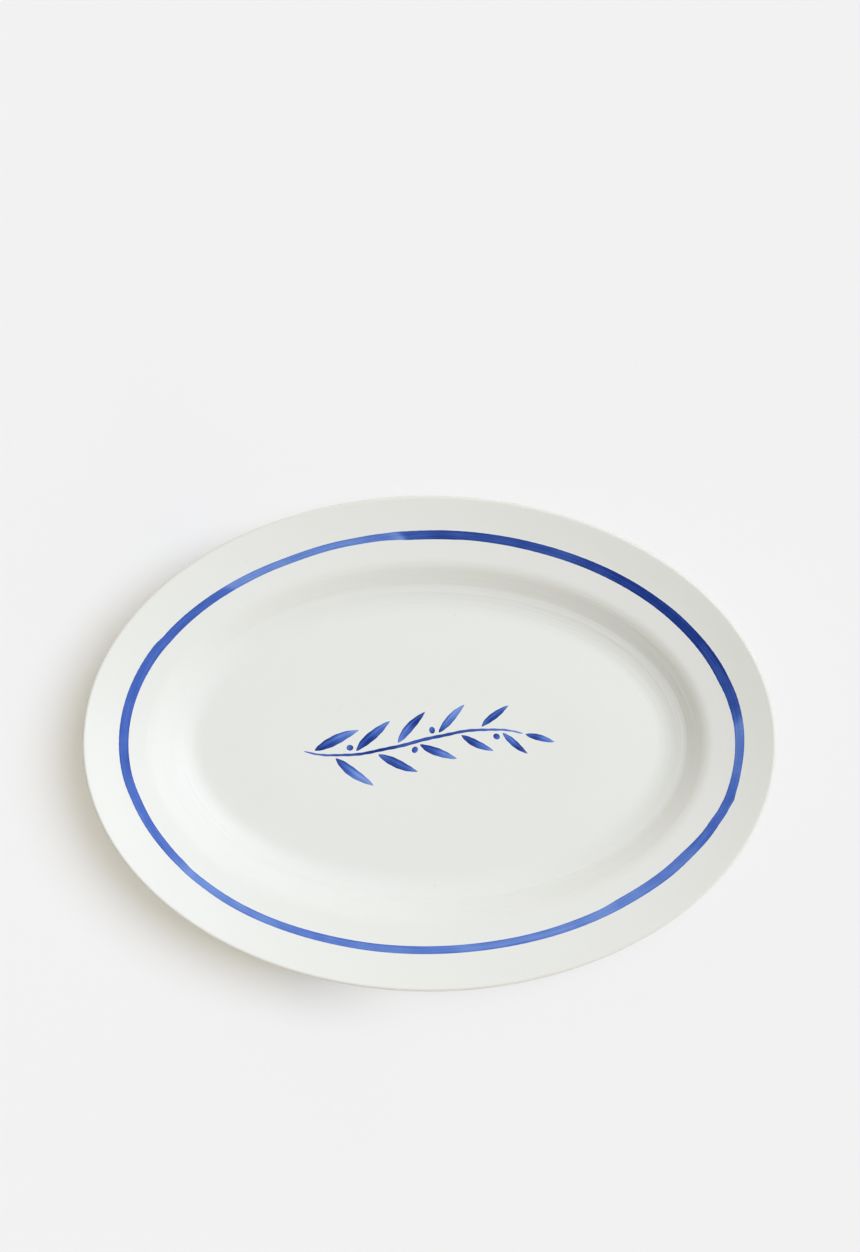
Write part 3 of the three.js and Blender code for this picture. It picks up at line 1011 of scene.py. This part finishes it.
PIXELS_PER_METRE = 1985.7  # of the picture, at the plate's rim
PLATE_IN_PICTURE = (429.3, 743.6)  # pixels from the left and the top to the plate's middle
CAMERA_HEIGHT = 2.0  # above the rim
SENSOR = 36  # millimetres, along the picture's long side
TABLE_SIZE = 24  # metres
KEY_AZIMUTH = radians(25)  # where the light comes from, from +X towards +Y
KEY_ELEVATION = radians(54)
KEY_SPREAD = radians(45)
KEY_COLOUR = "#EDF2FF"  # daylight
KEY_LEVEL = 0.63  # share of the light on the table; the room's two levels give the rest
ROOM_COLOUR = "#FFF5E0"  # light that came off the walls
ROOM_LEVEL = 0.12
SIDE_LEVEL = 1.0  # added at both sides of the line from the key light, as by two pale screens
# The table glows with its own colour: painted light that lightens and warms its shadow and lights the plate's
# base
SHADOW_LIFT = 0.39  # share of the table's look that is its own painted glow in the shadow, which lightens the shadow
SHADOW_AZIMUTH = radians(195)  # middle of the side where the painted glow is least and the shadow shows, from +X towards +Y
SHADOW_REACH = (40 * MM, 105 * MM)  # from the plate's middle to that side, the painted glow drops, so the shadow grows to its full depth
TINT_REACH = (90 * MM, 120 * MM)  # and the painted glow turns warm, a painted warm tint of the shadow
FAR_LIFT = 0.88  # share of the table's look that is painted glow on the light's side
OVERHANG = (-20 * MM, 6 * MM)  # from inside the plate's outline to outside it, the painted glow grows, so the shade under the rim stays darker
OVERHANG_LIFT = 0.3  # share of that painted glow left furthest in
UNDER_LIGHT = 0.7  # painted light: under the foot ring the table glows for rays that only give light, so the base can be seen from below
UNDER_FADE = 20 * MM  # from the foot ring outwards, that painted light fades out


def lamp_colour(code):
    """A light's colour with its green at 1, so that its level says how bright it is."""
    red, green, blue = linear(code)
    return red / green, 1, blue / green


def seen_ray(add):
    """1 for what the camera sees, straight on or in a gloss or a glass, and 0 for what only gives light."""
    path = add("LightPath").outputs
    either = path["Is Camera Ray"]
    for ray in ("Is Glossy Ray", "Is Transmission Ray"):
        either = add("Math", {"operation": "MAXIMUM"}, {0: either, 1: path[ray]})
    return either


def outside(add, place, sizes, inset):
    """How far a place on the table lies outside the oval at an inset from the plate's outline."""
    short, long = sizes.width / 2 - inset, sizes.length / 2 - inset
    oval = add("VectorMath", {"operation": "MULTIPLY", 1: (short / long, 1, 0)}, {0: place})
    radius = add("VectorMath", {"operation": "LENGTH"}, {0: oval})
    return add("Math", {"operation": "SUBTRACT", 1: short}, {0: radius})


@finish
def pale_table_with_painted_shadow(add, sizes, colours):
    """A plain pale table with painted light. For the camera it glows in part, which lightens its shadow and
    tints it warm. Under the foot ring it glows for rays that only give light, which lights the plate's base.
    It isn't seen from below.
    """
    place = add("TexCoord").outputs["Object"]
    seen = seen_ray(add)
    shadow_way = (cos(SHADOW_AZIMUTH), sin(SHADOW_AZIMUTH), 0)
    along = add("VectorMath", {"operation": "DOT_PRODUCT", 1: shadow_way}, {0: place})
    shaded, painted_tint = [
        add("MapRange", {**SMOOTH, "From Min": start, "From Max": end}, {"Value": along})
        for start, end in (SHADOW_REACH, TINT_REACH)
    ]
    # Painted glow, less towards the shadow side, which sets how light the shadow looks, and less again under
    # the rim
    kept = add("MapRange", {"To Min": FAR_LIFT, "To Max": SHADOW_LIFT}, {"Value": shaded})
    uncovered = add(
        "MapRange", {"From Min": OVERHANG[0], "From Max": OVERHANG[1], "To Min": OVERHANG_LIFT},
        {"Value": outside(add, place, sizes, 0)},
    )
    kept = add("Math", {"operation": "MULTIPLY"}, {0: kept, 1: uncovered})
    # Painted light: under the plate's base the table glows for rays that only give light
    under = add(
        "MapRange", {**SMOOTH, "From Min": UNDER_FADE, "From Max": 0, "To Max": UNDER_LIGHT},
        {"Value": outside(add, place, sizes, sizes.foot_inset)},
    )
    glow_share = add("Mix", {"data_type": "FLOAT"}, {"Factor": seen, "A": under, "B": kept})
    # A painted warm tint of the shadow, seen by the camera only
    painted_tint = add("Math", {"operation": "MULTIPLY"}, {0: painted_tint, 1: seen})
    cool, warm = [
        add(
            "Mix", {"data_type": "RGBA", COLOUR_A: opaque(colours.backdrop), COLOUR_B: opaque(tint)},
            {"Factor": painted_tint},
        )
        for tint in (colours.shadow_cool, colours.painted_shadow_warm)
    ]
    # The table's lit colour and its painted glow, mixed by the glow's share
    lit = add("BsdfDiffuse", {}, {"Color": cool})
    painted_glow = add("Emission", {"Strength": 1}, {"Color": warm})
    front = add("MixShader", {}, {"Fac": glow_share, 1: lit, 2: painted_glow})
    clear = add("BsdfTransparent")
    back = add("NewGeometry").outputs["Backfacing"]
    return add("MixShader", {}, {"Fac": back, 1: front, 2: clear})


class PLATE_OT_stage(bpy.types.Operator):
    """Sets up the table, the soft light from the upper right and the camera straight above"""

    bl_idname = "plate.stage"
    bl_label = "Stage"

    def execute(self, context):
        scene, colours = context.scene, context.scene.plate_colours
        scene.view_settings.view_transform = "Standard"
        deselect_all()
        bpy.ops.mesh.primitive_plane_add(size=TABLE_SIZE)
        table = context.object
        table.name = "table"
        table.data.materials.append(pale_table_with_painted_shadow(scene.plate_sizes, colours))

        bpy.ops.object.light_add(type="SUN", rotation=(0, pi / 2 - KEY_ELEVATION, KEY_AZIMUTH))
        key = context.object
        key.data.angle = KEY_SPREAD
        key.data.color = lamp_colour(KEY_COLOUR)
        key.data.energy = KEY_LEVEL * pi / sin(KEY_ELEVATION)
        key.visible_glossy = False  # a wide cloth hangs before it, so its own disc doesn't show in the glaze
        self.light_room(scene, colours)

        plate_x = (PLATE_IN_PICTURE[0] - PHOTO_WIDTH / 2) / PIXELS_PER_METRE
        plate_y = (PHOTO_HEIGHT / 2 - PLATE_IN_PICTURE[1]) / PIXELS_PER_METRE
        height = scene.plate_sizes.height + CAMERA_HEIGHT
        bpy.ops.object.camera_add(location=(-plate_x, -plate_y, height), rotation=(0, 0, 0))
        camera = context.object
        camera.data.sensor_width = SENSOR
        camera.data.lens = SENSOR * CAMERA_HEIGHT / (PHOTO_HEIGHT / PIXELS_PER_METRE)
        scene.camera = camera
        return {"FINISHED"}

    def light_room(self, scene, colours):
        """Soft light from all round, brighter from two sides. What shows of it has the table's colour."""
        world = bpy.data.worlds.new("soft_room")
        scene.world = world
        add = cleared(world)
        way = add("TexCoord").outputs["Generated"]
        side_way = (sin(KEY_AZIMUTH), -cos(KEY_AZIMUTH), 0)
        aside = add("VectorMath", {"operation": "DOT_PRODUCT", 1: side_way}, {0: way})
        screens = add("Math", {"operation": "MULTIPLY"}, {0: aside, 1: aside})
        level = add("Math", {"operation": "MULTIPLY_ADD", 1: SIDE_LEVEL, 2: ROOM_LEVEL}, {0: screens})
        light = add("Background", {"Color": opaque(lamp_colour(ROOM_COLOUR))}, {"Strength": level})
        shown = add("Background", {"Color": opaque(colours.backdrop), "Strength": 1})
        both = add("MixShader", {}, {"Fac": seen_ray(add), 1: light, 2: shown})
        add("OutputWorld", {}, {"Surface": both})


class PLATE_PT_sidebar(bpy.types.Panel):
    """Sizes, colours and the steps that model the plate"""

    bl_idname = "PLATE_PT_sidebar"
    bl_label = "Oval serving plate"
    bl_space_type = "VIEW_3D"
    bl_region_type = "UI"
    bl_category = "Plate"

    def draw(self, context):
        for step in STEPS:
            self.layout.operator(step.bl_idname)
        for group in (context.scene.plate_sizes, context.scene.plate_paint, context.scene.plate_colours):
            box = self.layout.box()
            for name in group.__annotations__:
                box.prop(group, name)


STEPS = (PLATE_OT_clay_body, PLATE_OT_glaze, PLATE_OT_rim_band, PLATE_OT_sprig, PLATE_OT_stage)
CLASSES = (PlateSizes, PaintSizes, PlateColours, *STEPS, PLATE_PT_sidebar)


def register():
    for each in CLASSES:
        bpy.utils.register_class(each)
    bpy.types.Scene.plate_sizes = PointerProperty(type=PlateSizes)
    bpy.types.Scene.plate_paint = PointerProperty(type=PaintSizes)
    bpy.types.Scene.plate_colours = PointerProperty(type=PlateColours)


def unregister():
    del bpy.types.Scene.plate_colours, bpy.types.Scene.plate_paint, bpy.types.Scene.plate_sizes
    for each in reversed(CLASSES):
        bpy.utils.unregister_class(each)


def main():
    register()
    bpy.ops.plate.clay_body()
    bpy.ops.plate.glaze()
    bpy.ops.plate.rim_band()
    bpy.ops.plate.sprig()
    bpy.ops.plate.stage()


if __name__ == "__main__":
    main()
